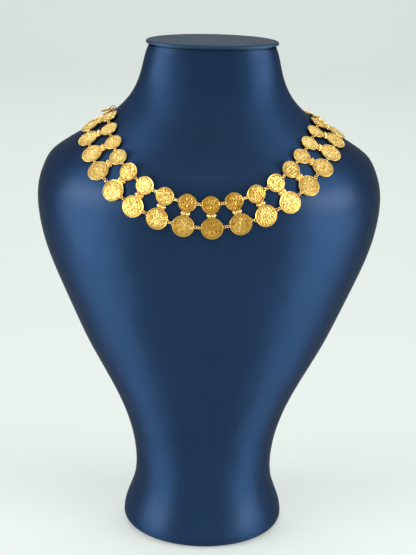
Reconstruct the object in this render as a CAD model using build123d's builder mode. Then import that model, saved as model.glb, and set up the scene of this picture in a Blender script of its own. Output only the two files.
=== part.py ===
from build123d import *
from bisect import bisect_right
from math import asin, atan2, cos, degrees, pi, radians, sin
import os

# A two-row coin necklace on the neck bust that carries it. Millimetres, +Z up,
# the chest faces -Y, and the origin is the middle of the base on the table.

# Neck bust
bust_height = 360.0
shoulder_half_width = 121.0
chest_depth = 80.0
back_depth = 52.5
base_edge_radius = 7.0
cap_overhang = 1.8
cap_thickness = 2.2
cap_top_radius = 0.9
cap_edge_radius = 0.5
cap_foot_inset = 2.0
piece_gap = 0.1

# Coins
small_coin_diameter = 12.0
large_coin_diameter = 14.6
coin_thickness = 1.0
coin_field_depth = 0.18
coin_rim_width = 0.7
relief_height = 0.12
petal_count = 8
petal_length_share = 0.34
petal_width_share = 0.13
petal_ring_share = 0.46

# Ball joint between the small and the large coin of a column
joint_gap = 2.6
ball_diameter = 2.5
ball_spacing = 2.7
ball_height = 1.3
joint_ring_radius = 1.3
joint_ring_wire = 0.8

# Side eyes of the coins and the loose rings that link them
eye_radius = 0.9
eye_wire = 0.46
eye_inset = 0.26
eye_stem = 0.36
eye_height = 0.95
eye_root_inset = 1.1
eye_root_height = 0.45
eye_reach_min = 0.5
eye_reach_max = 1.6
ring_wire = 0.42
ring_pitch = 2.15
ring_lean = 28.0
lean_reach_min = 0.52
eye_turn_step = 2.0

# How the columns stand round the neck
column_gap = 0.7
small_coin_gap_min = 3.0
surface_gap = 0.4
first_column_share = -0.2667
end_coin_pitch = 14.6
end_coin_drop_share = 0.455

# Bolt ring clasp
clasp_radius = 3.6
clasp_tube = 1.8
clasp_bore = 1.24
bolt_wire = 0.84
opening_start = 40.0
opening_end = 80.0
socket_depth = 8.0
bolt_engagement = 5.0
knob_angle = 97.0
bolt_travel = 45.0
knob_stem = 0.8
knob_diameter = 1.5
knob_reach = 1.1
slot_clearance = 0.3
bolt_tail = 9.0
clasp_tilt = 30.0
clasp_pitch = 15.0
clasp_gap = 1.7
end_ring_radius = 2.8
end_ring_wire = 0.5
end_ring_slack = 0.8
end_eye_radius = 1.0
end_eye_reach = 0.9

# Sections of the bust: share of its height, then shares of the shoulder half
# width, the chest depth and the back depth
bust_sections = [
    (0.000, 0.490, 0.672, 0.985),
    (0.025, 0.486, 0.678, 1.000),
    (0.055, 0.464, 0.632, 0.930),
    (0.090, 0.427, 0.590, 0.860),
    (0.135, 0.414, 0.565, 0.820),
    (0.190, 0.434, 0.567, 0.815),
    (0.250, 0.487, 0.620, 0.830),
    (0.320, 0.583, 0.695, 0.855),
    (0.400, 0.708, 0.790, 0.895),
    (0.480, 0.813, 0.875, 0.935),
    (0.550, 0.900, 0.935, 0.965),
    (0.610, 0.962, 0.970, 0.990),
    (0.660, 0.992, 0.980, 1.000),
    (0.695, 0.999, 0.985, 1.000),
    (0.725, 0.990, 0.990, 0.990),
    (0.755, 0.962, 0.965, 0.970),
    (0.780, 0.920, 0.900, 0.955),
    (0.797, 0.860, 0.820, 0.935),
    (0.812, 0.790, 0.745, 0.905),
    (0.827, 0.714, 0.675, 0.868),
    (0.844, 0.630, 0.600, 0.825),
    (0.865, 0.544, 0.515, 0.772),
    (0.890, 0.473, 0.435, 0.718),
    (0.920, 0.423, 0.375, 0.670),
    (0.955, 0.393, 0.330, 0.632),
    (0.990, 0.362, 0.300, 0.610),
]

# Route of the inner row round the neck: azimuth from the front towards +X,
# share of the bust height, and the lean of the columns in degrees
necklace_route = [
    (-150, 0.844, 6),
    (-120, 0.855, 2),
    (-90, 0.862, -1),
    (-60, 0.839, -1),
    (-45, 0.819, 7),
    (-30, 0.785, 7),
    (-15, 0.749, 0),
    (0, 0.735, 1),
    (15, 0.754, 3),
    (30, 0.790, 1),
    (45, 0.819, 10),
    (60, 0.836, 15),
    (90, 0.849, 21),
    (105, 0.848, 20),
    (120, 0.846, 18),
    (150, 0.840, 14),
    (180, 0.838, 10),
]

small_radius = small_coin_diameter / 2
large_radius = large_coin_diameter / 2
coin_spacing = small_radius + joint_gap + large_radius
column_pitch = max(large_coin_diameter + column_gap, small_coin_diameter + small_coin_gap_min)
full_turn = 360
route_steps = 360
rim_samples = 12


def smooth(rows, column, where):
    """Value of a table's column at a place between its rows, as a smooth curve."""
    last = len(rows) - 2
    index = min(max(bisect_right(rows, where, key=lambda row: row[0]) - 1, 0), last)

    def slope(row):
        if row == 0 or row == len(rows) - 1:
            near = min(row, last)
            return (rows[near + 1][column] - rows[near][column]) / (rows[near + 1][0] - rows[near][0])
        before = rows[row][0] - rows[row - 1][0]
        after = rows[row + 1][0] - rows[row][0]
        rise_before = (rows[row][column] - rows[row - 1][column]) / before
        rise_after = (rows[row + 1][column] - rows[row][column]) / after
        return (rise_before * after + rise_after * before) / (before + after)

    low, high = rows[index], rows[index + 1]
    span = high[0] - low[0]
    part = (where - low[0]) / span
    rest = 1 - part
    return (
        low[column] * (1 + 2 * part) * rest**2
        + slope(index) * span * part * rest**2
        + high[column] * (3 - 2 * part) * part**2
        - slope(index + 1) * span * part**2 * rest
    )


def surface(azimuth, height):
    """Point of the bust's skin at an azimuth in radians and a height."""
    share = height / bust_height
    half_width = shoulder_half_width * smooth(bust_sections, 1, share)
    if cos(azimuth) >= 0:
        depth = chest_depth * smooth(bust_sections, 2, share)
    else:
        depth = back_depth * smooth(bust_sections, 3, share)
    return Vector(half_width * sin(azimuth), -depth * cos(azimuth), height)


def normal(azimuth, height):
    """Outward normal of the bust's skin there."""
    step = 0.001
    rise = 0.05
    around = surface(azimuth + step, height) - surface(azimuth - step, height)
    up = surface(azimuth, height + rise) - surface(azimuth, height - rise)
    return around.cross(up).normalized()


def drop(point):
    """The bust's skin nearest a point that is close to it, and the normal there."""
    height = point.Z
    guess = point
    for _ in range(8):
        share = height / bust_height
        half_width = shoulder_half_width * smooth(bust_sections, 1, share)
        side = (chest_depth, 2) if guess.Y <= 0 else (back_depth, 3)
        depth = side[0] * smooth(bust_sections, side[1], share)
        azimuth = atan2(guess.X / half_width, -guess.Y / depth)
        foot = surface(azimuth, height)
        out = normal(azimuth, height)
        gap = point - foot
        guess = foot + gap - out * gap.dot(out)
        height = guess.Z
    return foot, out


# The route is walked once, to know how far along it each azimuth lies
route_rows = (
    [(azimuth - full_turn, *rest) for azimuth, *rest in necklace_route[-2:]]
    + necklace_route
    + [(azimuth + full_turn, *rest) for azimuth, *rest in necklace_route[:2]]
)


def route_point(azimuth):
    height = bust_height * smooth(route_rows, 1, azimuth)
    turn = radians(azimuth)
    return surface(turn, height) + normal(turn, height) * (surface_gap + coin_thickness / 2)


walk = [(0.0, -180.0)]
before = route_point(-180.0)
for step in range(1, route_steps + 1):
    azimuth = -180.0 + full_turn * step / route_steps
    here = route_point(azimuth)
    walk.append((walk[-1][0] + (here - before).length, azimuth))
    before = here
loop_length = walk[-1][0]
front_distance = walk[route_steps // 2][0]


def azimuth_at(distance):
    """Azimuth at a distance along the route from the front, positive towards +X."""
    along = (distance + front_distance) % loop_length
    index = min(bisect_right(walk, along, key=lambda row: row[0]), route_steps)
    low, high = walk[index - 1], walk[index]
    return low[1] + (high[1] - low[1]) * (along - low[0]) / (high[0] - low[0])


def station(distance, below):
    """Skin point at a distance along the inner row and below it, with the downward direction."""
    azimuth = azimuth_at(distance)
    height = bust_height * smooth(route_rows, 1, azimuth)
    top, out = drop(surface(radians(azimuth), height))
    step = 2.0
    along = route_point(azimuth_at(distance + step)) - route_point(azimuth_at(distance - step))
    along = along.normalized()
    down = out.cross(along).normalized()
    if down.Z > 0:
        down = -down
    lean = radians(smooth(route_rows, 2, azimuth))
    down = (down * cos(lean) + along * sin(lean)).normalized()
    if below == 0:
        return top, down
    for _ in range(4):
        foot, out = drop(top + down * below)
        down = (foot - top).normalized()
    return foot, down


def chord(distance, below):
    """Direction of a row of coins past a station, from one neighbour to the next."""
    before, _ = station(distance - column_pitch, below)
    after, _ = station(distance + column_pitch, below)
    return (after - before).normalized()


def seat(first, second, along, discs):
    """Plane of stiff discs laid on the skin: x from first to second, z outwards.

    The row pulls the discs in line with it, along. They are (distance along x,
    radius) and their backs clear the skin.
    """
    reach = (second - first).normalized()
    out = reach.cross(along).normalized()
    if out.dot(drop(first)[1]) < 0:
        out = -out
    plane = Plane(origin=first, x_dir=reach, z_dir=out)
    lift = 0.0
    for place, radius in discs:
        for index in range(rim_samples):
            turn = 2 * pi * index / rim_samples
            rim_point = plane.from_local_coords((place + radius * cos(turn), radius * sin(turn), 0))
            lift = max(lift, (drop(rim_point)[0] - first).dot(out))
        middle = plane.from_local_coords((place, 0, 0))
        lift = max(lift, (drop(middle)[0] - first).dot(out))
    return Plane(origin=first + out * (lift + surface_gap), x_dir=reach, z_dir=out)


def end_coin_plane(distance):
    """Plane of the single coin that ends both rows, at a distance along the route."""
    foot, down = station(distance, end_coin_drop)
    return seat(foot, foot + down, chord(distance, end_coin_drop), [(0, large_radius)])


# A coin is its piece's plane, its place along the plane's x and its radius
def coin_centre(coin):
    plane, place, _ = coin
    return plane.from_local_coords((place, 0, eye_height))


def bearing(coin, target):
    """Direction of a point in the coin's own plane, in degrees from its x."""
    plane, place, _ = coin
    local = plane.to_local_coords(target)
    return degrees(atan2(local.Y, local.X - place))


def eye_point(coin, angle, reach):
    plane, place, radius = coin
    away = radius + reach
    turn = radians(angle)
    return plane.from_local_coords((place + away * cos(turn), away * sin(turn), eye_height))


def eye(coin, angle, reach, radius, inset, pull):
    """An eye and its tilt, in line with the ring or lug that pulls on it.

    The ring passes at the reach, and the eye's middle lies inset from there.
    """
    pull = pull.normalized()
    return angle, reach, radius, inset, degrees(asin(pull.dot(coin[0].z_dir)))


def ring_place(start, end, out, lean):
    """Plane and radius of a loose ring through two eyes, leaning off its upright."""
    across = (end - start).normalized()
    side = across.cross(out).normalized()
    rise = side.cross(across)
    leaning = side * cos(radians(lean)) - rise * sin(radians(lean))
    return Plane(origin=(start + end) / 2, x_dir=across, z_dir=leaning), (end - start).length / 2


def link(coin, other):
    """Eyes of two neighbouring coins and the loose ring between them.

    The eyes reach out as far as brings them a ring's width apart. Where the coins
    stand too close for that, each eye is turned aside, so that the two pass.
    """
    reach = eye_reach_min
    turn = 0.0
    for _ in range(12):
        angle = bearing(coin, coin_centre(other)) + turn
        other_angle = bearing(other, coin_centre(coin)) + turn
        start = eye_point(coin, angle, reach)
        end = eye_point(other, other_angle, reach)
        spare = (end - start).length - ring_pitch
        if turn == 0 and (spare > 0 or reach > eye_reach_min):
            reach = min(max(reach + spare / 2, eye_reach_min), eye_reach_max)
        elif spare < 0:
            turn += eye_turn_step
    lean = ring_lean if reach > lean_reach_min else 0
    place = ring_place(start, end, coin[0].z_dir + other[0].z_dir, lean)
    first_eye = eye(coin, angle, reach, eye_radius, eye_inset, end - start)
    other_eye = eye(other, other_angle, reach, eye_radius, eye_inset, start - end)
    return first_eye, other_eye, place


# The left end coin, then the clasp, its outer side tilted up off the skin
end_coin_drop = coin_spacing * end_coin_drop_share
lug_reach = clasp_radius + clasp_tube / 2 + eye_reach_min
first_distance = first_column_share * loop_length
left_end_distance = first_distance - end_coin_pitch
left_end = (end_coin_plane(left_end_distance), 0.0, large_radius)
clasp_distance = left_end_distance - large_radius - eye_reach_min - clasp_gap - lug_reach
clasp_foot, clasp_down = station(clasp_distance, end_coin_drop)
clasp_normal = drop(clasp_foot)[1]
clasp_rise = clasp_radius * sin(radians(clasp_tilt)) + clasp_tube / 2 + surface_gap
beyond = station(clasp_distance - clasp_radius, end_coin_drop)[0]
clasp_along = beyond - station(clasp_distance + clasp_radius, end_coin_drop)[0]
clasp_along = (clasp_along - clasp_normal * clasp_along.dot(clasp_normal)).normalized()
clasp_side = clasp_along.cross(clasp_normal)
if clasp_side.Z > 0:
    clasp_side = -clasp_side
clasp_side = clasp_side * cos(radians(clasp_tilt)) + clasp_normal * sin(radians(clasp_tilt))
clasp_out = clasp_along.cross(clasp_side)
pitch = radians(clasp_pitch)
clasp_plane = Plane(
    origin=clasp_foot + clasp_normal * clasp_rise,
    x_dir=clasp_along * cos(pitch) + clasp_out * sin(pitch),
    z_dir=clasp_out * cos(pitch) - clasp_along * sin(pitch),
)
lug_point = clasp_plane.from_local_coords((-lug_reach, 0, 0))
tube_point = clasp_plane.from_local_coords((clasp_radius, 0, 0))

# The right end coin is as far on as lets the end ring hold the clasp's tube
right_end_distance = clasp_distance - clasp_radius - end_ring_radius - end_eye_reach - large_radius
for _ in range(8):
    right_end = (end_coin_plane(right_end_distance), 0.0, large_radius)
    right_eye_angle = bearing(right_end, tube_point)
    right_eye_point = eye_point(right_end, right_eye_angle, end_eye_reach)
    right_end_distance += (right_eye_point - tube_point).length - end_ring_slack - end_ring_radius

# Columns of coins round the neck, from the left end coin over the front to the right one
last_distance = right_end_distance - end_coin_pitch + loop_length
column_count = round((last_distance - first_distance) / column_pitch) + 1
real_pitch = (last_distance - first_distance) / (column_count - 1)
column_planes = []
for index in range(column_count):
    distance = first_distance + real_pitch * index
    small_foot, _ = station(distance, 0)
    large_foot, _ = station(distance, coin_spacing)
    along = chord(distance, 0) * small_radius**2 + chord(distance, coin_spacing) * large_radius**2
    discs = [(0, small_radius), (coin_spacing, large_radius)]
    column_planes.append(seat(small_foot, large_foot, along, discs))
small_row = [(plane, 0.0, small_radius) for plane in column_planes]
large_row = [(plane, coin_spacing, large_radius) for plane in column_planes]

# Every coin's eyes, and the places of the loose rings
small_eyes = [[] for _ in column_planes]
large_eyes = [[] for _ in column_planes]
left_end_eyes = []
right_end_eyes = []
inner_ring_places = []
outer_ring_places = []
rows = [(small_row, small_eyes, inner_ring_places), (large_row, large_eyes, outer_ring_places)]
for row, eyes, places in rows:
    chain = [left_end, *row, right_end]
    chain_eyes = [left_end_eyes, *eyes, right_end_eyes]
    for index in range(len(chain) - 1):
        first_eye, other_eye, place = link(chain[index], chain[index + 1])
        chain_eyes[index].append(first_eye)
        chain_eyes[index + 1].append(other_eye)
        places.append(place)
left_eye_angle = bearing(left_end, lug_point)
left_eye_point = eye_point(left_end, left_eye_angle, eye_reach_min)
left_pull = lug_point - left_eye_point
left_end_eyes.append(
    eye(left_end, left_eye_angle, eye_reach_min, eye_radius, eye_inset, left_pull)
)
lug_tilt = -degrees(asin(left_pull.normalized().dot(clasp_plane.z_dir)))
right_pull = tube_point - right_eye_point
right_end_eyes.append(
    eye(right_end, right_eye_angle, end_eye_reach, end_eye_radius, 0.0, right_pull)
)
clasp_link_place = ring_place(left_eye_point, lug_point, clasp_normal + clasp_plane.z_dir, 0)
end_ring_across = (right_eye_point - tube_point).normalized()
end_ring_start = right_eye_point - end_ring_across * 2 * end_ring_radius
end_ring_place = ring_place(end_ring_start, right_eye_point, clasp_plane.z_dir, 0)


def raised_coin(diameter):
    """Blank coin on its back: a field, a raised rim and a plain raised rosette."""
    radius = diameter / 2
    field = coin_thickness - coin_field_depth
    with BuildPart() as coin:
        Cylinder(radius, coin_thickness, align=(Align.CENTER, Align.CENTER, Align.MIN))
        with BuildSketch(Plane.XY.offset(coin_thickness)):
            Circle(radius - coin_rim_width)
        extrude(amount=-coin_field_depth, mode=Mode.SUBTRACT)
        with BuildSketch(Plane.XY.offset(field)):
            Circle(radius * petal_width_share)
            with PolarLocations(radius * petal_ring_share, petal_count):
                Ellipse(radius * petal_length_share / 2, radius * petal_width_share)
        extrude(amount=relief_height)
    return coin.part


def add_eyes(eyes, place, radius):
    """Solder eyes on a coin whose centre lies at a place along x."""
    for angle, reach, size, inset, tilt in eyes:
        with Locations(Location((place, 0, 0), (0, 0, angle))):
            with Locations(Location((radius + reach, 0, eye_height), (0, -tilt, 0))):
                with Locations((-inset, 0, 0)):
                    Torus(size, eye_wire / 2)
            root = Vector(radius - eye_root_inset, 0, eye_root_height)
            near_x = radius + reach - (size + inset) * cos(radians(tilt))
            near_side = Vector(near_x, 0, eye_height - (size + inset) * sin(radians(tilt)))
            stem = Plane(origin=root, z_dir=near_side - root)
            with Locations(stem.location):
                Cylinder(
                    eye_stem / 2,
                    (near_side - root).length,
                    align=(Align.CENTER, Align.CENTER, Align.MIN),
                )


def oval(half_width, front, back):
    """Section of the neck: half an ellipse in front and half a flatter one behind."""
    with BuildSketch() as section:
        with BuildLine():
            EllipticalCenterArc((0, 0), half_width, back, 0, arc_size=180)
            EllipticalCenterArc((0, 0), half_width, front, 180, arc_size=180)
        make_face()
    return section.sketch


def write(piece, name):
    piece.label = name
    export_step(piece, f"parts/{name}.step")


os.makedirs("parts", exist_ok=True)

# The bust: one body, lofted through its sections, with a rounded base edge
with BuildPart() as bust_body:
    for share, width_share, front_share, back_share in bust_sections:
        with BuildSketch(Plane.XY.offset(bust_height * share)):
            half_width = shoulder_half_width * width_share
            add(oval(half_width, chest_depth * front_share, back_depth * back_share))
    loft()
    fillet(bust_body.faces().sort_by(Axis.Z)[0].edges(), base_edge_radius)
write(bust_body.part, "bust_body")



def neck_oval(margin):
    """The oval of the neck's top, wider all round by a margin."""
    top_share, top_width, top_front, top_back = bust_sections[-1]
    half_width = shoulder_half_width * top_width + margin
    return oval(half_width, chest_depth * top_front + margin, back_depth * top_back + margin)


# A thin plate with rounded edges closes the neck. It stands on a narrower foot,
# which leaves a dark groove under its rim.
cap_base = bust_height * bust_sections[-1][0] + piece_gap
with BuildPart() as neck_cap:
    with BuildSketch(Plane.XY.offset(bust_height - cap_thickness)):
        add(neck_oval(cap_overhang))
    extrude(amount=cap_thickness)
    fillet(neck_cap.faces().sort_by(Axis.Z)[-1].edges(), cap_top_radius)
    fillet(neck_cap.faces().sort_by(Axis.Z)[0].edges(), cap_edge_radius)
    with BuildSketch(Plane.XY.offset(cap_base)):
        add(neck_oval(-cap_foot_inset))
    extrude(amount=bust_height - cap_thickness - cap_base)
write(neck_cap.part, "neck_cap")

# A column before its eyes: both coins and the ball joint soldered between them
small_coin = raised_coin(small_coin_diameter)
large_coin = raised_coin(large_coin_diameter)
with BuildPart() as column:
    add(small_coin)
    with Locations((coin_spacing, 0, 0)):
        add(large_coin)
    with Locations((small_radius + joint_gap / 2, 0, 0)):
        with Locations(
            (0, -ball_spacing / 2, coin_thickness / 2),
            (0, ball_spacing / 2, coin_thickness / 2),
        ):
            Torus(joint_ring_radius, joint_ring_wire / 2)
        with Locations((0, -ball_spacing / 2, ball_height), (0, ball_spacing / 2, ball_height)):
            Sphere(ball_diameter / 2)

for index, plane in enumerate(column_planes):
    with BuildPart() as coin_pair:
        add(column.part)
        add_eyes(small_eyes[index], 0, small_radius)
        add_eyes(large_eyes[index], coin_spacing, large_radius)
    write(plane.location * coin_pair.part, f"coin_pair_{index + 1:02d}")

# The single coins that end both rows
for name, coin, eyes in (
    ("end_coin_left", left_end, left_end_eyes),
    ("end_coin_right", right_end, right_end_eyes),
):
    with BuildPart() as end_coin:
        add(large_coin)
        add_eyes(eyes, 0, large_radius)
    write(coin[0].location * end_coin.part, name)

# The loose rings of each row, each through the eyes of two coins
for name, places in (("inner_rings", inner_ring_places), ("outer_rings", outer_ring_places)):
    with BuildPart() as rings:
        for plane, radius in places:
            with Locations(plane.location):
                Torus(radius, ring_wire / 2)
    write(rings.part, name)


def ring_sector(radius, start, end):
    """Stretch of a round wire or tube bent about Z, between two angles."""
    turn = radians(start)
    profile = Plane(
        origin=(0, 0, 0),
        x_dir=(cos(turn), sin(turn), 0),
        z_dir=(sin(turn), -cos(turn), 0),
    )
    with BuildPart() as sector:
        with BuildSketch(profile):
            with Locations((clasp_radius, 0)):
                Circle(radius)
        revolve(axis=Axis.Z, revolution_arc=end - start)
    return sector.part


# Bolt ring: a hollow tube with an opening, a slot for the knob and a lug
knob_half_angle = degrees((knob_stem / 2 + slot_clearance) / (clasp_radius + clasp_tube / 2))
slot_start = knob_angle - knob_half_angle
slot_end = knob_angle + bolt_travel + knob_half_angle
bolt_end = knob_angle + bolt_tail
bolt_bore = ring_sector(clasp_bore / 2, opening_end - 1, bolt_end + bolt_travel + 3)
socket_bore = ring_sector(clasp_bore / 2, opening_start - socket_depth, opening_start + 1)
with BuildPart() as clasp_ring:
    add(ring_sector(clasp_tube / 2, opening_end, opening_start + full_turn))
    with Locations(Location((-lug_reach, 0, 0), (0, lug_tilt, 0))):
        with Locations((eye_inset, 0, 0)):
            Torus(eye_radius, eye_wire / 2)
    add(bolt_bore, mode=Mode.SUBTRACT)
    add(socket_bore, mode=Mode.SUBTRACT)
    with BuildSketch(Plane.XY.offset(-knob_stem / 2 - slot_clearance)):
        with BuildLine():
            inner = CenterArc((0, 0), clasp_radius, slot_start, arc_size=slot_end - slot_start)
            outer = CenterArc(
                (0, 0), clasp_radius + clasp_tube, slot_start, arc_size=slot_end - slot_start
            )
            Line(inner @ 0, outer @ 0)
            Line(inner @ 1, outer @ 1)
        make_face()
    extrude(amount=knob_stem + 2 * slot_clearance, mode=Mode.SUBTRACT)
write(clasp_plane.location * clasp_ring.part, "clasp_ring")

# The bolt slides round inside the tube and is drawn back by its knob
stem_length = clasp_tube / 2 + knob_reach
with BuildPart() as clasp_bolt:
    add(ring_sector(bolt_wire / 2, opening_start - bolt_engagement, bolt_end))
    with Locations(Location((0, 0, 0), (0, 0, knob_angle))):
        with Locations((clasp_radius + stem_length / 2, 0, 0)):
            Cylinder(knob_stem / 2, stem_length, rotation=(0, 90, 0))
        with Locations((clasp_radius + stem_length, 0, 0)):
            Sphere(knob_diameter / 2)
write(clasp_plane.location * clasp_bolt.part, "clasp_bolt")

# The ring between the left end coin and the clasp, and the ring that the clasp holds
for name, (plane, radius), wire in (
    ("clasp_link", clasp_link_place, ring_wire),
    ("end_ring", end_ring_place, end_ring_wire),
):
    with BuildPart() as loose_ring:
        with Locations(plane.location):
            Torus(radius, wire / 2)
    write(loose_ring.part, name)

print("loop", round(loop_length, 1), "columns", column_count, "pitch", round(real_pitch, 3))
print("clasp centre", [round(value, 4) for value in clasp_plane.origin])
print("clasp axis", [round(value, 6) for value in clasp_plane.z_dir])
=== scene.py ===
import bpy
import numpy as np
from math import cos, exp, pi, radians, sin
from mathutils import Matrix, Vector


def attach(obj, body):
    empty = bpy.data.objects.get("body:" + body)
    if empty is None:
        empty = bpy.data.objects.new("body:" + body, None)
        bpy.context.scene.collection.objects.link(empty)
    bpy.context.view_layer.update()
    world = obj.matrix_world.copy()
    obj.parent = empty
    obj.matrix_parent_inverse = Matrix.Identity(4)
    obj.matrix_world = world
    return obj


# Looks of the two-row coin necklace and of the neck bust that carries it.
# Blender's units are metres, and sizes here are in millimetres times MM.
MM = 0.001

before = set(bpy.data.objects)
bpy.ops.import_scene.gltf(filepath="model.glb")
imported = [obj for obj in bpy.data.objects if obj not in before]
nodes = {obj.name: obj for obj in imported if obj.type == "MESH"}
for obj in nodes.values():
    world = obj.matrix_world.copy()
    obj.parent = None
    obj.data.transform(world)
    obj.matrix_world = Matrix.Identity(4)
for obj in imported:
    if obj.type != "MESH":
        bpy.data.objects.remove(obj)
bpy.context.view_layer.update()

# Camera, fitted to the photograph. The focal length counts along the picture's
# longer side, which is its height.
PHOTO_HEIGHT = 555
CAMERA_PLACE = Vector((0, -950, 490)) * MM
CAMERA_TARGET = Vector((0.569, 0, 189.898)) * MM
CAMERA_ROLL = 0.022537  # radians
FOCAL_PIXELS = 1381.59
SENSOR = 36.0
CLIP_NEAR = 10 * MM
CLIP_FAR = 20000 * MM

# Coins, as in the part's source
SMALL_RADIUS = 6.0 * MM
LARGE_RADIUS = 7.3 * MM

# Finding the coins of a column
LEVEL_STEP = 0.02 * MM  # what lies this close to a level lies in its plane
SAME_FACING = 0.9999  # the cosine from which two directions count as one
LARGEST_FACES = 12  # the coins' flat faces are among this many
PAIR_SPAN = 2.4 * LARGE_RADIUS  # two coins reach further than this, one doesn't
COIN_SPAN = 2.1 * SMALL_RADIUS  # how far in from its end one coin is looked for
FIT_ROUNDS = 4

# Struck faces, laid over the plain coins. Heights are above the coin's back.
STRUCK_OVERLAP = 0.03 * MM
STRUCK_FOOT = 0.12 * MM
STRUCK_FIELD = 0.97 * MM
STRUCK_RIM = 1.13 * MM
STRUCK_TURNS = 160
STRUCK_RINGS = 38
RIM_WIDTH = 0.46 * MM
RIM_SLOPE = 0.14 * MM
RIM_ROUND = 0.16 * MM
RIM_ARC = (0.4, 0.8, 1.2, pi / 2)  # radians round the rim's corner
NICK_DEPTH = 0.03 * MM
NICK_WAVES = (5, 11)
OFF_CENTRE = 0.25 * MM

# Relief. Its shares are of the coin's radius.
RELIEF_RISE = 0.4 * MM
STROKE_WIDTH = 0.26 * MM
DESIGN_SPREAD = 1.1
DESIGN_SHARE = 0.85
DESIGN_FADE = 0.04
BORDER_BEADS = 52
BORDER_SHARE = 0.89
BORDER_WIDTH = 0.17 * MM
BORDER_HEIGHT = 0.8
BEAD_GAPS = 0.35  # the border's height between its beads
CURL_SIZE = 0.33 * MM
CURL_BEND = 1.6
CURL_PACE = 0.55
CURL_HEIGHT = 0.8
CURL_SHARPNESS = 1.3
WEAR_SIZE = 2.4 * MM
WEAR_LONG = 0.45  # pace of the longer wave of wear
WEAR_LEFT = 0.72  # share of the relief that wear leaves on average
WEAR_SPREAD = 0.14

# Polish on the relief attribute's scale, from 0 in the hollows to 1 on top
RIM_POLISH = 0.85
EDGE_POLISH = 0.45
FOOT_POLISH = 0.3

# Painted shade: the coins at the front are painted a deeper gold all over, most in the middle, as
# in the photograph
FRONT_SHADE_MIDDLE = 4 * MM
FRONT_SHADE_REACH = 54 * MM
FRONT_SHADE_DEPTH = 0.85
OWN_TONE = 0.25
COIN_SEED = 21

# Paper sweep behind and under the bust
SWEEP_SIDE = 2500 * MM
SWEEP_FRONT = -2500 * MM
SWEEP_BACK = 2100 * MM
SWEEP_BEND = 600 * MM
SWEEP_TOP = 2600 * MM
SWEEP_STEPS = 12

# Lights: (name, place, target, width and height, watts, beam), lengths in mm and
# beams in degrees. The low side lights draw the film's upright bands of shine.
LIGHTS = [
    ("left_light", (-850, -380, 290), (0, 0, 200), (700, 400), 4.4, 112),
    ("right_light", (850, -380, 290), (0, 0, 200), (700, 400), 4.4, 112),
    ("top_light", (0, -500, 1300), (0, 0, 200), (1200, 1000), 2.0, 180),
    ("floor_light", (0, -420, 800), (0, -130, 0), (200, 200), 0.05, 22),
    ("back_light", (0, 900, 1900), (0, 1900, 0), (2000, 600), 28.0, 180),
]
ROOM_STRENGTH = 0.72

# Films: how much pearl pigment (Metallic), drawing (Anisotropic) and coat they have
BUST_SHINE = {
    "Metallic": 0.8, "Roughness": 0.55, "Anisotropic": 0.85,
    "Specular IOR Level": 0.4, "Coat Weight": 0.1,
}
CAP_SHINE = {
    "Metallic": 0.35, "Roughness": 0.42, "Anisotropic": 0.0,
    "Specular IOR Level": 0.2, "Coat Weight": 0.0,
}


# Nodes and colours

def linear(hex_colour):
    """A hex sRGB colour as linear RGBA."""
    values = [int(hex_colour[i:i + 2], 16) / 255 for i in (1, 3, 5)]
    return [v / 12.92 if v <= 0.04045 else ((v + 0.055) / 1.055) ** 2.4 for v in values] + [1.0]


def put(tree, kind, inputs, **settings):
    """Add a node with its settings. Inputs are values or the sockets that feed them."""
    node = tree.nodes.new(kind)
    for name, value in settings.items():
        setattr(node, name, value)
    for socket, value in inputs.items():
        if isinstance(value, bpy.types.NodeSocket):
            tree.links.new(value, node.inputs[socket])
        else:
            node.inputs[socket].default_value = value
    return node


def new_material(name):
    """A material's empty tree, and the object's own coordinates in it."""
    material = bpy.data.materials.new(name)
    material.use_nodes = True
    tree = material.node_tree
    tree.nodes.clear()
    return material, tree, put(tree, "ShaderNodeTexCoord", {}).outputs["Object"]


def add_surface(tree, inputs):
    """The shader with these inputs, as the material's surface."""
    shader = put(tree, "ShaderNodeBsdfPrincipled", inputs)
    put(tree, "ShaderNodeOutputMaterial", {"Surface": shader.outputs["BSDF"]})


def noise(tree, place, size, detail, roughness=0.5):
    """Noise with features of about this size."""
    inputs = {"Vector": place, "Scale": 1 / size, "Detail": detail, "Roughness": roughness}
    return put(tree, "ShaderNodeTexNoise", inputs).outputs["Fac"]


def mix(tree, factor, first, second, blend="MIX"):
    """Two colours mixed by a factor."""
    inputs = {"Factor": factor, "A": first, "B": second}
    node = put(tree, "ShaderNodeMix", inputs, data_type="RGBA", blend_type=blend)
    return node.outputs["Result"]


def rescale(tree, value, seen, wanted):
    """A value's seen range, low and high, brought to the wanted range."""
    return put(tree, "ShaderNodeMapRange", {
        "Value": value, "From Min": seen[0], "From Max": seen[1],
        "To Min": wanted[0], "To Max": wanted[1],
    }).outputs["Result"]


def bump(tree, height, strength, distance, **under):
    """A bumped normal, over another one if its Normal is given."""
    inputs = {"Height": height, "Strength": strength, "Distance": distance, **under}
    return put(tree, "ShaderNodeBump", inputs).outputs["Normal"]


def ramp(tree, value, stops):
    """A colour ramp of stops: (position, hex colour)."""
    node = put(tree, "ShaderNodeValToRGB", {"Fac": value})
    elements = node.color_ramp.elements
    while len(elements) < len(stops):
        elements.new(1.0)
    for element, (position, colour) in zip(elements, stops):
        element.position = position
        element.color = linear(colour)
    return node.outputs["Color"]


def attribute(tree, name):
    """A mesh attribute's value."""
    return put(tree, "ShaderNodeAttribute", {}, attribute_name=name).outputs["Fac"]


# Gold, leatherette and paper

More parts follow.
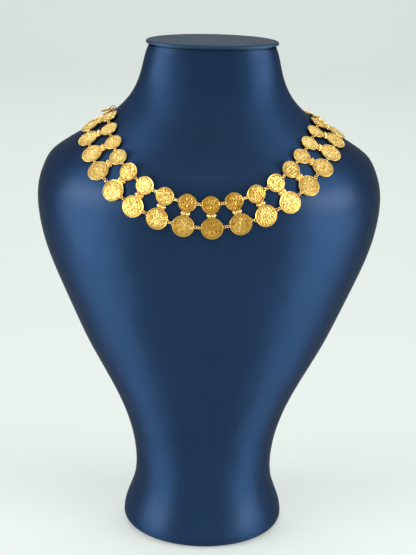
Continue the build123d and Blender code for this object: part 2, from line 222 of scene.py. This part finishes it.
def struck_gold():
    """Struck 21 carat gold, worn by handling: bright on the high relief, brown in the hollows."""
    material, tree, place = new_material("Struck yellow gold")
    # Tarnish gathers in the hollows, and handling polishes what stands up
    relief = ramp(tree, attribute(tree, "relief"), [
        (0.0, "#8E5C1C"), (0.3, "#E0A846"), (0.6, "#FBD678"), (1.0, "#FFEAA4"),
    ])
    # Thin uneven tarnish, in patches about 2.5 mm across
    patch = noise(tree, place, 2.5 * MM, 5.0, 0.6)
    tarnish = rescale(tree, patch, (0.35, 0.7), (0.0, 0.32))
    worn = mix(tree, tarnish, relief, linear("#CC9642"))
    # Each coin has its own random depth of colour, a deeper gold all over, and the coins in the
    # middle of the front get painted shade the same way
    toned_and_shaded = mix(tree, attribute(tree, "tone_and_shade"), worn, linear("#D2BB84"), "MULTIPLY")
    # Fine hair scratches and pits, drawn at 0.25 mm so that they show
    pits = noise(tree, place, 0.25 * MM, 3.0)
    add_surface(tree, {
        "Base Color": toned_and_shaded, "Metallic": 1.0,
        "Roughness": rescale(tree, patch, (0.3, 0.75), (0.24, 0.42)),
        "Normal": bump(tree, pits, 0.25, 0.05 * MM),
    })
    return material


def drawn_gold(name, light, dark, roughness):
    """Drawn and polished gold wire: smooth, with soft brown tarnish in patches."""
    material, tree, place = new_material(name)
    # Tarnish in patches about 1.6 mm across, duller where it is
    patch = noise(tree, place, 1.6 * MM, 4.0)
    # Fine marks of the draw plate, 0.3 mm apart
    marks = noise(tree, place, 0.3 * MM, 2.0)
    add_surface(tree, {
        "Base Color": mix(tree, patch, linear(light), linear(dark)), "Metallic": 1.0,
        "Roughness": rescale(tree, patch, (0.3, 0.7), roughness),
        "Normal": bump(tree, marks, 0.15, 0.04 * MM),
    })
    return material


def leatherette(name, deep, light, shine):
    """Satin PVC leatherette with pearl pigment: soft blue shine on a dark, finely grained film."""
    material, tree, place = new_material(name)
    # Slow changes of tone in the film, about 60 mm across
    cloud = noise(tree, place, 60 * MM, 3.0)
    # Embossed grain: cells about 0.9 mm across, with finer creases over them
    cells = put(tree, "ShaderNodeTexVoronoi", {
        "Vector": place, "Scale": 1 / (0.9 * MM),
    }, feature="SMOOTH_F1")
    creases = noise(tree, place, 0.35 * MM, 2.0)
    grain = put(tree, "ShaderNodeMath", {0: cells.outputs["Distance"], 1: creases}, operation="ADD")
    # The film was pulled over the form by hand and isn't quite even: ripples about 30 mm long
    rippled = bump(tree, noise(tree, place, 30 * MM, 1.0), 1.0, 1.2 * MM)
    grained = bump(tree, grain.outputs["Value"], 0.3, 0.06 * MM, Normal=rippled)
    # The film is drawn upwards over the form, and a quarter turn from the tangent round
    # it makes the shine run up and down
    round_the_form = put(tree, "ShaderNodeTangent", {}, direction_type="RADIAL", axis="Z")
    add_surface(tree, {
        "Base Color": mix(tree, cloud, linear(deep), linear(light)), "Normal": grained,
        "Tangent": round_the_form.outputs["Tangent"], "Anisotropic Rotation": 0.25,
        "Specular Tint": linear("#7C7C7C"), "Coat Roughness": 0.3, **shine,
    })
    return material


def matt_paper():
    """Thin matt paper lit softly from behind as well: an even, slightly green white."""
    material, tree, place = new_material("Matt paper")
    # Paper tooth, drawn at 3 mm so that it shows at all
    tooth = noise(tree, place, 3 * MM, 3.0)
    add_surface(tree, {
        "Base Color": mix(tree, tooth, linear("#A4A9A6"), linear("#A8ADAA")),
        "Roughness": 0.9, "Specular IOR Level": 0.1,
        "Emission Color": linear("#F6FCF8"), "Emission Strength": 0.31,
    })
    return material


# The ornament struck on the coins. Points are shares of the coin's radius, and a
# stroke is (points, width share, height share).

def spiral(centre, start, turns, first_radius, last_radius, count=26):
    """Points along a scroll."""
    along = np.linspace(0, 1, count)
    angle = start + 2 * pi * turns * along
    reach = first_radius + (last_radius - first_radius) * along
    return np.stack([centre[0] + reach * np.cos(angle), centre[1] + reach * np.sin(angle)], axis=1)


def bow(start, end, bulge, count=12):
    """Points along a shallow bow from start to end."""
    start, end = np.array(start), np.array(end)
    along = np.linspace(0, 1, count)[:, None]
    across = np.array([start[1] - end[1], end[0] - start[0]])
    return start + (end - start) * along + across * bulge * 4 * along * (1 - along)


def polar(reach, angle):
    """The point at this distance and angle from the coin's middle."""
    return reach * cos(angle), reach * sin(angle)


def ring_of_leaves(count, inner, outer, lean):
    """Leaves round the coin, each drawn as two bows and a rib."""
    strokes = []
    for index in range(count):
        angle = 2 * pi * index / count
        root, tip = polar(inner, angle), polar(outer, angle + lean)
        strokes.append((bow(root, tip, 0.2), 0.8, 0.9))
        strokes.append((bow(root, tip, -0.2), 0.8, 0.9))
        strokes.append((bow(root, tip, 0.0), 0.7, 0.5))
    return strokes


def dots(count, reach, size, phase=0.0):
    """Raised dots round the coin."""
    strokes = []
    for index in range(count):
        spot = polar(reach, 2 * pi * index / count + phase)
        strokes.append((np.array([spot, spot]), size, 1.0))
    return strokes


def hoop(reach, width=0.7, height=0.8):
    """A raised ring line."""
    return [(spiral((0, 0), 0, 1, reach, reach, 60), width, height)]


def rosette_design():
    """A six-petalled rosette in a wreath of leaves."""
    strokes = dots(1, 0.0, 2.2) + hoop(0.2) + ring_of_leaves(6, 0.22, 0.46, 0.0)
    strokes += hoop(0.5, 0.6, 0.6) + ring_of_leaves(14, 0.54, 0.72, 0.18)
    return strokes


def scroll_design():
    """Four scrolls with leaves between them."""
    strokes = dots(1, 0.0, 1.8) + dots(4, 0.16, 1.0)
    for index in range(4):
        angle = pi / 2 * index
        centre = polar(0.42, angle)
        strokes.append((spiral(centre, angle + pi, 1.6, 0.05, 0.22), 0.9, 1.0))
        strokes.append((bow(polar(0.24, angle + 0.5), polar(0.7, angle + 0.75), 0.25), 0.9, 0.9))
        strokes.append((bow(polar(0.5, angle + 0.55), polar(0.72, angle + 0.35), -0.3), 0.8, 0.8))
    return strokes + dots(12, 0.72, 0.9, 0.13)


def vine_design():
    """Four waving vines across the coin, with tendrils on either side."""
    wave_height, wave_pace, stem = 0.07, 13, 0.09
    strokes = []
    for row, phase in ((-0.42, 0.3), (-0.14, 1.4), (0.14, 2.6), (0.42, 3.9)):
        reach = 0.72 * (1 - row**2) ** 0.5
        along = np.linspace(-reach, reach, 40)
        wave = row + wave_height * np.sin(along * wave_pace + phase)
        strokes.append((np.stack([along, wave], axis=1), 0.9, 0.9))
        for index, x in enumerate(np.linspace(-reach * 0.8, reach * 0.8, 5)):
            side = 1 if index % 2 else -1
            y = row + wave_height * sin(x * wave_pace + phase)
            tendril = spiral((x, y + side * stem), side * pi / 2, 0.8 * side, 0.07, 0.02, 12)
            strokes.append((tendril, 0.8, 0.9))
    return strokes + hoop(0.76, 0.6, 0.6)


def star_design():
    """An eight-pointed star of crossed bands in a ring of dots."""
    strokes = dots(1, 0.0, 2.0) + hoop(0.6, 0.7, 0.7) + dots(20, 0.7, 0.9)
    for index in range(8):
        angle = pi / 4 * index
        band = bow(polar(0.56, angle), polar(0.56, angle + 3 * pi / 4), 0.0, 20)
        strokes.append((band, 0.8, 0.9))
        strokes.append((bow(polar(0.1, angle), polar(0.26, angle + 0.3), 0.2), 0.8, 0.9))
    return strokes


def sprig_design():
    """A branching sprig with paired leaves, among five dots in a ring line."""
    strokes = [(bow((0, -0.68), (0.02, 0.5), 0.03, 24), 1.0, 1.0)]
    for step in range(6):
        y = -0.5 + 0.17 * step
        spread = 0.5 - 0.05 * step
        for side in (-1, 1):
            root, tip = (0, y), (side * spread, y + 0.16)
            strokes.append((bow(root, tip, 0.16), 0.8, 0.9))
            strokes.append((bow(root, tip, -0.16), 0.8, 0.9))
    return strokes + dots(5, 0.6, 1.2, 0.25) + hoop(0.76, 0.6, 0.6)


DESIGNS = [rosette_design(), scroll_design(), vine_design(), star_design(), sprig_design()]


# Relief, 0 to 1, at places on the coin

def stroke_height(points, strokes, width):
    """Height of a design's strokes at points given as shares of the radius."""
    height = np.zeros(len(points))
    for line, width_share, height_share in strokes:
        start, end = line[:-1], line[1:]
        span = end - start
        length = np.maximum((span**2).sum(1), 1e-9)
        offset = points[:, None, :] - start[None]
        along = np.clip((offset * span[None]).sum(2) / length, 0, 1)
        gap = offset - along[..., None] * span[None]
        distance = np.sqrt((gap**2).sum(2)).min(1)
        profile = np.exp(-((distance / (width * width_share)) ** 2) * 2.0)
        height = np.maximum(height, profile * height_share)
    return height


def curl_height(u, v, waves):
    """Height of the small curls that fill the ground between the strokes."""
    u, v = u / CURL_SIZE, v / CURL_SIZE
    bent_u = u + CURL_BEND * np.sin(CURL_PACE * v + waves[4])
    bent_v = v + CURL_BEND * np.sin(CURL_PACE * u + waves[5])
    curls = 0.5 + 0.5 * np.sin(bent_u) * np.sin(bent_v + waves[0])
    return CURL_HEIGHT * curls**CURL_SHARPNESS


def border_height(u, v, radius):
    """Height of the beaded border."""
    off_border = (np.hypot(u, v) - BORDER_SHARE * radius) / BORDER_WIDTH
    beads = 0.5 + 0.5 * np.cos(BORDER_BEADS * np.arctan2(v, u))
    return BORDER_HEIGHT * np.exp(-off_border**2) * (BEAD_GAPS + (1 - BEAD_GAPS) * beads)


def struck_height(u, v, radius, strokes, waves):
    """Height of all that is struck on the field, at u and v in the design's own axes."""
    shares = np.stack([u, v], axis=-1).reshape(-1, 2) / (DESIGN_SPREAD * radius)
    ornament = stroke_height(shares, strokes, STROKE_WIDTH / radius).reshape(u.shape)
    ornament = np.maximum(ornament, curl_height(u, v, waves))
    inside = (DESIGN_SHARE * radius - np.hypot(u, v)) / (DESIGN_FADE * radius)
    return np.maximum(ornament * np.clip(inside, 0, 1), border_height(u, v, radius))


def wear_left(x, y, waves):
    """The share of the relief that uneven wear leaves."""
    x, y = x / WEAR_SIZE, y / WEAR_SIZE
    short = np.sin(x + waves[0]) * np.sin(y + waves[1])
    long = np.sin(WEAR_LONG * x + waves[2]) * np.sin(WEAR_LONG * y + waves[3])
    return WEAR_LEFT + WEAR_SPREAD * (short + long)


# Coins

def add_object(name, data):
    """A new object in the scene."""
    thing = bpy.data.objects.new(name, data)
    bpy.context.scene.collection.objects.link(thing)
    return thing


def placing(x_axis, y_axis, z_axis, origin):
    """The matrix with these axes and this origin."""
    columns = (x_axis, y_axis, z_axis, origin)
    return Matrix([[column[i] for column in columns] for i in range(3)] + [[0, 0, 0, 1]])


def field_of(items, name, width):
    """One field of a mesh's vertices or faces as rows."""
    values = np.empty(len(items) * width)
    items.foreach_get(name, values)
    return values.reshape(-1, width)


def coin_plane(mesh, places):
    """The direction that a column's coins face, and the level of their backs along it."""
    normals = field_of(mesh.polygons, "normal", 3)
    middles = field_of(mesh.polygons, "center", 3)
    areas = field_of(mesh.polygons, "area", 1)[:, 0]
    # The coins' plane is the direction that the most flat area faces
    facings = np.abs(normals @ normals[np.argsort(areas)[-LARGEST_FACES:]].T) > SAME_FACING
    flat = facings[:, (areas[:, None] * facings).sum(0).argmax()]
    signed_areas = np.sign(normals[flat] @ normals[flat][0]) * areas[flat]
    out = (normals[flat] * signed_areas[:, None]).sum(0)
    out /= np.linalg.norm(out)
    # Outwards is away from the bust's upright axis, or upwards
    middle = places.mean(0)
    if out @ np.array([middle[0], middle[1], abs(middle[0]) + abs(middle[1])]) < 0:
        out = -out
    # The back is the level where most of the area that faces inwards lies
    inwards = normals @ out < -SAME_FACING
    levels = (middles[inwards] @ out / LEVEL_STEP).round()
    level = max(set(levels), key=lambda step: areas[inwards][levels == step].sum())
    return out, level * LEVEL_STEP


def fitted_circle(spots):
    """Centre and radius of the circle that most of the spots lie on."""
    for _ in range(FIT_ROUNDS):
        sides = np.stack([2 * spots[:, 0], 2 * spots[:, 1], np.ones(len(spots))], axis=1)
        fit = np.linalg.lstsq(sides, (spots**2).sum(1), rcond=None)[0]
        radius = (fit[2] + fit[0] ** 2 + fit[1] ** 2) ** 0.5
        off = np.abs(np.hypot(spots[:, 0] - fit[0], spots[:, 1] - fit[1]) - radius)
        spots = spots[off <= max(2 * np.median(off), LEVEL_STEP)]
    return fit[:2], radius


def disc_frames(node):
    """Where a CAD node's coins lie: [(matrix, radius)], z outwards and x down the column."""
    mesh = nodes[node].data
    places = field_of(mesh.vertices, "co", 3)
    out, level = coin_plane(mesh, places)
    back = places[np.abs(places @ out - level) < LEVEL_STEP]
    around = back - back.mean(0)
    along = np.linalg.svd(around, full_matrices=False)[2][0]
    across = np.cross(out, along)
    spots = np.stack([around @ along, around @ across], axis=1)
    reach = spots[:, 0]
    groups = [spots]
    if reach.max() - reach.min() > PAIR_SPAN:
        first, last = reach < reach.min() + COIN_SPAN, reach > reach.max() - COIN_SPAN
        groups = [spots[first], spots[last]]
    discs = []
    for group in groups:
        spot, radius = fitted_circle(group)
        centre = back.mean(0) + along * spot[0] + across * spot[1]
        discs.append((centre + out * (level - centre @ out), radius))
    discs.sort(key=lambda disc: disc[1])
    if len(discs) == 2:
        along = discs[1][0] - discs[0][0]
        along /= np.linalg.norm(along)
        across = np.cross(out, along)
    between = (SMALL_RADIUS + LARGE_RADIUS) / 2
    return [
        (placing(along, across, out, centre), SMALL_RADIUS if radius < between else LARGE_RADIUS)
        for centre, radius in discs
    ]


def ring_faces(rings, count):
    """Faces of a form made of rings of points, with a middle point before and after them."""
    after = [(i + 1) % count for i in range(count)]
    faces = [(0, 1 + i, 1 + after[i]) for i in range(count)]
    for ring in range(rings - 1):
        low, high = 1 + ring * count, 1 + (ring + 1) * count
        faces += [(low + i, high + i, high + after[i], low + after[i]) for i in range(count)]
    last = 1 + (rings - 1) * count
    return faces + [(last + after[i], last + i, last + count) for i in range(count)]


def struck_mesh(name, radius, strokes, front_shade, draw):
    """A struck coin's upper side and edge: raised rim, beaded border and worn ornament."""
    edge = radius + STRUCK_OVERLAP
    flat_reach = edge - RIM_ROUND
    reach = np.linspace(0, flat_reach, STRUCK_RINGS)[1:]
    turn = np.linspace(0, 2 * pi, STRUCK_TURNS, endpoint=False)
    r, t = np.meshgrid(reach, turn, indexing="ij")
    x, y = r * np.cos(t), r * np.sin(t)
    # Old coins are struck a little off centre, turned, and worn unevenly, and each gets its own
    # random depth of colour on top of the painted shade of its place
    shift = draw.uniform(-OFF_CENTRE, OFF_CENTRE, 2)
    angle = draw.uniform(0, 2 * pi)
    waves = draw.uniform(0, 2 * pi, 6)
    # The painted shade of the coin's place, plus its own random depth of colour
    tone_and_shade = front_shade + OWN_TONE * draw.uniform(0.0, 1.0) ** 2
    off_x, off_y = x - shift[0], y - shift[1]
    u, v = off_x * cos(angle) + off_y * sin(angle), -off_x * sin(angle) + off_y * cos(angle)
    rise = struck_height(u, v, radius, strokes, waves) * wear_left(x, y, waves)
    # The rim's inner side climbs in a soft step, and its top is nicked
    rim = np.clip((r - (flat_reach - RIM_WIDTH + RIM_ROUND)) / RIM_SLOPE, 0, 1)
    rim = rim * rim * (3 - 2 * rim)
    nicks = NICK_DEPTH * np.sin(NICK_WAVES[0] * t + waves[4]) * np.sin(NICK_WAVES[1] * t + waves[5])
    rim_rise = STRUCK_RIM - STRUCK_FIELD
    z = STRUCK_FIELD + RELIEF_RISE * rise * (1 - rim) + (rim_rise + nicks) * rim
    heights = np.clip((z - STRUCK_FIELD) / rim_rise, 0, 1)
    rings = [np.stack([x[i], y[i], z[i]], axis=1) for i in range(len(reach))]
    relief = list(heights)
    # Round the rim over, then down the edge and under
    corner = STRUCK_RIM - RIM_ROUND
    profile = [(flat_reach + RIM_ROUND * sin(a), corner + RIM_ROUND * cos(a)) for a in RIM_ARC]
    profile += [(edge, (corner + STRUCK_FOOT) / 2), (edge, STRUCK_FOOT + RIM_ROUND / 2)]
    profile += [(edge - RIM_ROUND / 2, STRUCK_FOOT)]
    for step, (away, level) in enumerate(profile):
        level = np.full(len(turn), level) + (nicks[-1] if step < 2 else 0)
        rings.append(np.stack([away * np.cos(turn), away * np.sin(turn), level], axis=1))
        relief.append(np.full(len(turn), RIM_POLISH if step < 3 else EDGE_POLISH))
    top, foot = np.array([[0, 0, z[0].mean()]]), np.array([[0, 0, STRUCK_FOOT]])
    points = np.concatenate([top, *rings, foot])
    values = np.concatenate([[heights[0].mean()], *relief, [FOOT_POLISH]])
    mesh = bpy.data.meshes.new(name)
    mesh.from_pydata(points.tolist(), [], ring_faces(len(rings), STRUCK_TURNS))
    mesh.polygons.foreach_set("use_smooth", [True] * len(mesh.polygons))
    mesh.attributes.new("relief", "FLOAT", "POINT").data.foreach_set("value", values)
    tone_and_shade_values = mesh.attributes.new("tone_and_shade", "FLOAT", "POINT").data
    tone_and_shade_values.foreach_set("value", np.full(len(points), tone_and_shade))
    return mesh


def painted_front_shade(place):
    """How much painted shade the coin at this place gets: most in the middle of the front, none at
    the back.
    """
    off = (place.x - FRONT_SHADE_MIDDLE) / FRONT_SHADE_REACH
    return FRONT_SHADE_DEPTH * exp(-off * off) if place.y < 0 else 0.0


def strike_coins(gold):
    """A struck face on every coin, which rides and shades with its column."""
    draw = np.random.default_rng(COIN_SEED)
    for node in sorted(nodes):
        if not node.startswith(("coin_pair", "end_coin")):
            continue
        for matrix, radius in disc_frames(node):
            size = "small" if radius == SMALL_RADIUS else "large"
            name = f"struck_{size}_{node}"
            strokes = DESIGNS[draw.integers(len(DESIGNS))]
            # Painted shade, deepest for the coins in the middle of the front
            front_shade = painted_front_shade(matrix.translation)
            face = add_object(name, struck_mesh(name, radius, strokes, front_shade, draw))
            face.matrix_world = matrix
            face.data.materials.append(gold)
            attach(face, "body")


def dress(finishes):
    """Give the CAD nodes their finishes: (start of the nodes' names, material)."""
    for start, material in finishes:
        for node in nodes:
            if node.startswith(start):
                nodes[node].data.materials.clear()
                nodes[node].data.materials.append(material)


# Studio

def sweep(paper):
    """A paper sweep: floor, a wide bend and a back wall."""
    line = [(SWEEP_FRONT, 0.0), (SWEEP_BACK, 0.0)]
    for step in range(1, SWEEP_STEPS + 1):
        turn = pi / 2 * step / SWEEP_STEPS
        line.append((SWEEP_BACK + SWEEP_BEND * sin(turn), SWEEP_BEND * (1 - cos(turn))))
    line.append((SWEEP_BACK + SWEEP_BEND, SWEEP_TOP))
    points, faces = [], []
    for y, z in line:
        points += [(-SWEEP_SIDE, y, z), (SWEEP_SIDE, y, z)]
    for step in range(len(line) - 1):
        faces.append((2 * step, 2 * step + 1, 2 * step + 3, 2 * step + 2))
    mesh = bpy.data.meshes.new("paper_sweep")
    mesh.from_pydata(points, [], faces)
    mesh.polygons.foreach_set("use_smooth", [True] * len(mesh.polygons))
    mesh.materials.append(paper)
    add_object("paper_sweep", mesh)


def soft_light(name, place, target, size, power, beam):
    """A rectangular white light aimed at a point."""
    light = bpy.data.lights.new(name, "AREA")
    light.shape = "RECTANGLE"
    light.size, light.size_y = size[0] * MM, size[1] * MM
    light.energy = power
    light.spread = radians(beam)
    lamp = add_object(name, light)
    place, target = Vector(place) * MM, Vector(target) * MM
    lamp.location = place
    lamp.rotation_euler = (target - place).to_track_quat("-Z", "Y").to_euler()


def studio():
    """An even pale room and its soft lights, shown as they are, with no film look."""
    world = bpy.data.worlds.new("pale_room")
    bpy.context.scene.world = world
    world.use_nodes = True
    background = world.node_tree.nodes["Background"]
    background.inputs["Color"].default_value = linear("#E6ECE8")
    background.inputs["Strength"].default_value = ROOM_STRENGTH
    for light in LIGHTS:
        soft_light(*light)
    bpy.context.scene.view_settings.view_transform = "Standard"


def photo_camera():
    """The photograph's camera: its place, aim, roll and focal length were fitted to it."""
    data = bpy.data.cameras.new("photo_camera")
    data.sensor_width = SENSOR
    data.lens = FOCAL_PIXELS * SENSOR / PHOTO_HEIGHT
    data.clip_start = CLIP_NEAR
    data.clip_end = CLIP_FAR
    camera = add_object("photo_camera", data)
    forward = (CAMERA_TARGET - CAMERA_PLACE).normalized()
    right = forward.cross(Vector((0, 0, 1))).normalized()
    up = right.cross(forward)
    rolled = right * cos(CAMERA_ROLL) + up * sin(CAMERA_ROLL)
    upright = up * cos(CAMERA_ROLL) - right * sin(CAMERA_ROLL)
    camera.matrix_world = placing(rolled, upright, -forward, CAMERA_PLACE)
    bpy.context.scene.camera = camera


coin_gold = struck_gold()
wire_gold = drawn_gold("Drawn yellow gold", "#FCDC90", "#DCA850", (0.16, 0.3))
clasp_gold = drawn_gold("Old yellow gold", "#D79A3C", "#8A5720", (0.25, 0.4))
bust_film = leatherette("Satin navy leatherette", "#1B3350", "#20395A", BUST_SHINE)
cap_film = leatherette("Satin slate leatherette", "#22384E", "#283F56", CAP_SHINE)

sweep(matt_paper())
studio()
photo_camera()
strike_coins(coin_gold)
dress([
    ("coin_pair", wire_gold),
    ("end_coin", wire_gold),
    ("inner_rings", wire_gold),
    ("outer_rings", wire_gold),
    ("clasp_link", wire_gold),
    ("clasp_ring", clasp_gold),
    ("clasp_bolt", clasp_gold),
    ("end_ring", clasp_gold),
    ("bust_body", bust_film),
    ("neck_cap", cap_film),
])
